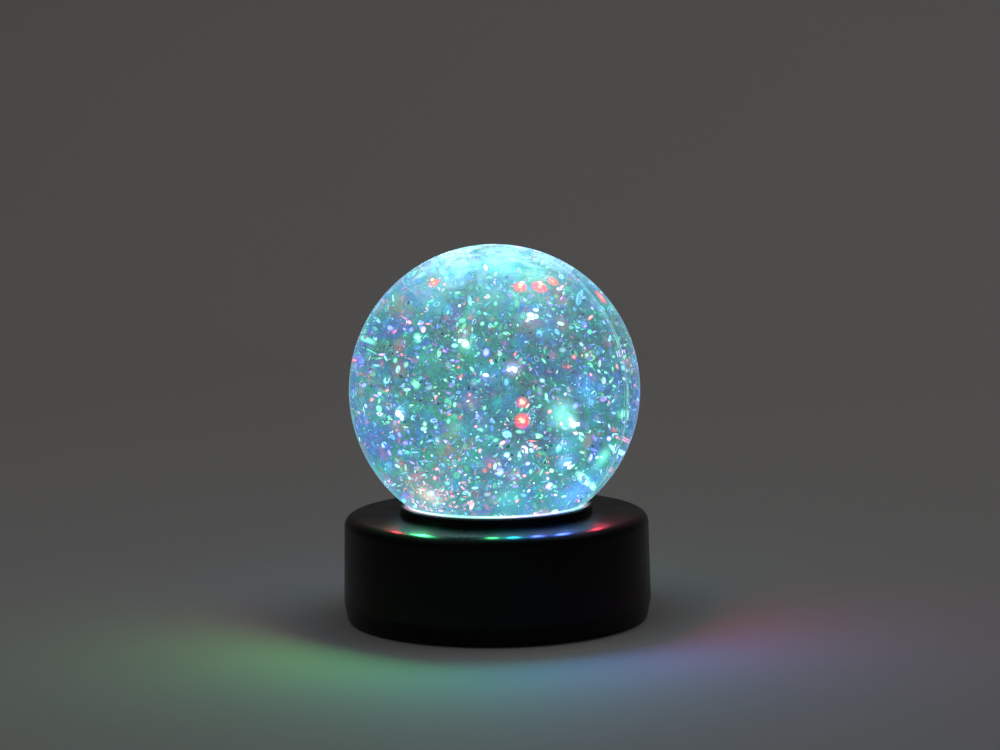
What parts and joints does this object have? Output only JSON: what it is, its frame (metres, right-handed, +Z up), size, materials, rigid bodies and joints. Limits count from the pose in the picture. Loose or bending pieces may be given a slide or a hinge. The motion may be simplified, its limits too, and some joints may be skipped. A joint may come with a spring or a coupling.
{
  "type": "glitter globe lamp",
  "caption": "Light-up table globe: a clear ball of water and glitter, stirred by a magnet-driven impeller, on a round black battery base.",
  "frame": {"origin": "middle of the footprint, on the table under the rubber feet", "axes": "+Z up along the globe's upright axis, -Y towards the front; the switch faces +Y"},
  "size_m": [0.1062, 0.1062, 0.1292],
  "materials": {
    "clear_shell": "polished",
    "glitter_water": "polished",
    "clear_plug": "polished",
    "satin_black": "satin",
    "collar_black": "gloss",
    "underside_black": "matte",
    "inner_black": "matte",
    "rubber_black": "matte",
    "steel": "polished",
    "nickel": "polished",
    "white_plastic": "satin",
    "board_green": "gloss",
    "chip_black": "matte",
    "light_red": "gloss",
    "light_green": "gloss",
    "light_blue": "gloss",
    "motor_steel": "satin",
    "ivory_plastic": "satin",
    "ferrite": "matte",
    "copper": "satin",
    "cell_wrap": "gloss",
    "lead_red": "satin",
    "lead_black": "satin",
    "lead_yellow": "satin",
    "knob_black": "satin"
  },
  "bodies": {
    "lamp": {"globe_half_front": "clear_shell", "globe_half_rear": "clear_shell", "globe_window": "clear_plug", "window_seal": "rubber_black", "impeller_pin": "steel", "pin_cap": "white_plastic", "impeller_guard": "clear_plug", "collar_ring": "collar_black", "globe_gasket": "rubber_black", "neck_ring": "inner_black", "base_housing": "satin_black", "inner_deck": "inner_black", "deck_screws": "steel", "led_board": "board_green", "board_parts": "chip_black", "led_red": "light_red", "led_green": "light_green", "led_blue": "light_blue", "light_reflector": "white_plastic", "motor_can": "motor_steel", "motor_end_cap": "ivory_plastic", "motor_magnets": "ferrite", "switch_body": "motor_steel", "switch_screws": "steel", "battery_cell_1": "cell_wrap", "battery_cell_2": "cell_wrap", "battery_cell_3": "cell_wrap", "battery_springs": "steel", "battery_contacts": "nickel", "battery_lead_positive": "lead_red", "battery_lead_negative": "lead_black", "switch_lead": "lead_red", "motor_leads": "lead_yellow", "base_plate": "underside_black", "base_screws": "steel", "rubber_feet": "rubber_black"},
    "water": {"glitter_water": "glitter_water"},
    "impeller": {"impeller": "white_plastic", "impeller_magnets": "nickel"},
    "rotor": {"motor_shaft": "steel", "motor_armature": "copper", "magnet_carrier": "ivory_plastic", "drive_magnets": "nickel"},
    "switch": {"switch_slider": "knob_black"},
    "door": {"battery_door": "underside_black", "door_screw": "steel"}
  },
  "joints": [
    {"name": "glitter_swirl", "type": "hinge", "parent": "lamp", "child": "water", "pos_m": [0, 0, 0.0792], "axis": [0, 0, 1], "continuous": true},
    {"name": "impeller_spin", "type": "hinge", "parent": "lamp", "child": "impeller", "pos_m": [0, 0, 0.032], "axis": [0, 0, 1], "continuous": true},
    {"name": "rotor_spin", "type": "hinge", "parent": "lamp", "child": "rotor", "pos_m": [0, 0, 0.018], "axis": [0, 0, 1], "continuous": true},
    {"name": "switch_slide", "type": "slide", "parent": "lamp", "child": "switch", "axis": [-1, 0, 0], "range_m": [0, 0.004]},
    {"name": "battery_door_hinge", "type": "hinge", "parent": "lamp", "child": "door", "pos_m": [0.0246, -0.0233, 0.0023], "axis": [-1, 0, 0], "range_deg": [0, 70]}
  ],
  "couplings": [
    {"joint": "impeller_spin", "follows": "glitter_swirl", "ratio": 15},
    {"joint": "rotor_spin", "follows": "glitter_swirl", "ratio": 15}
  ]
}
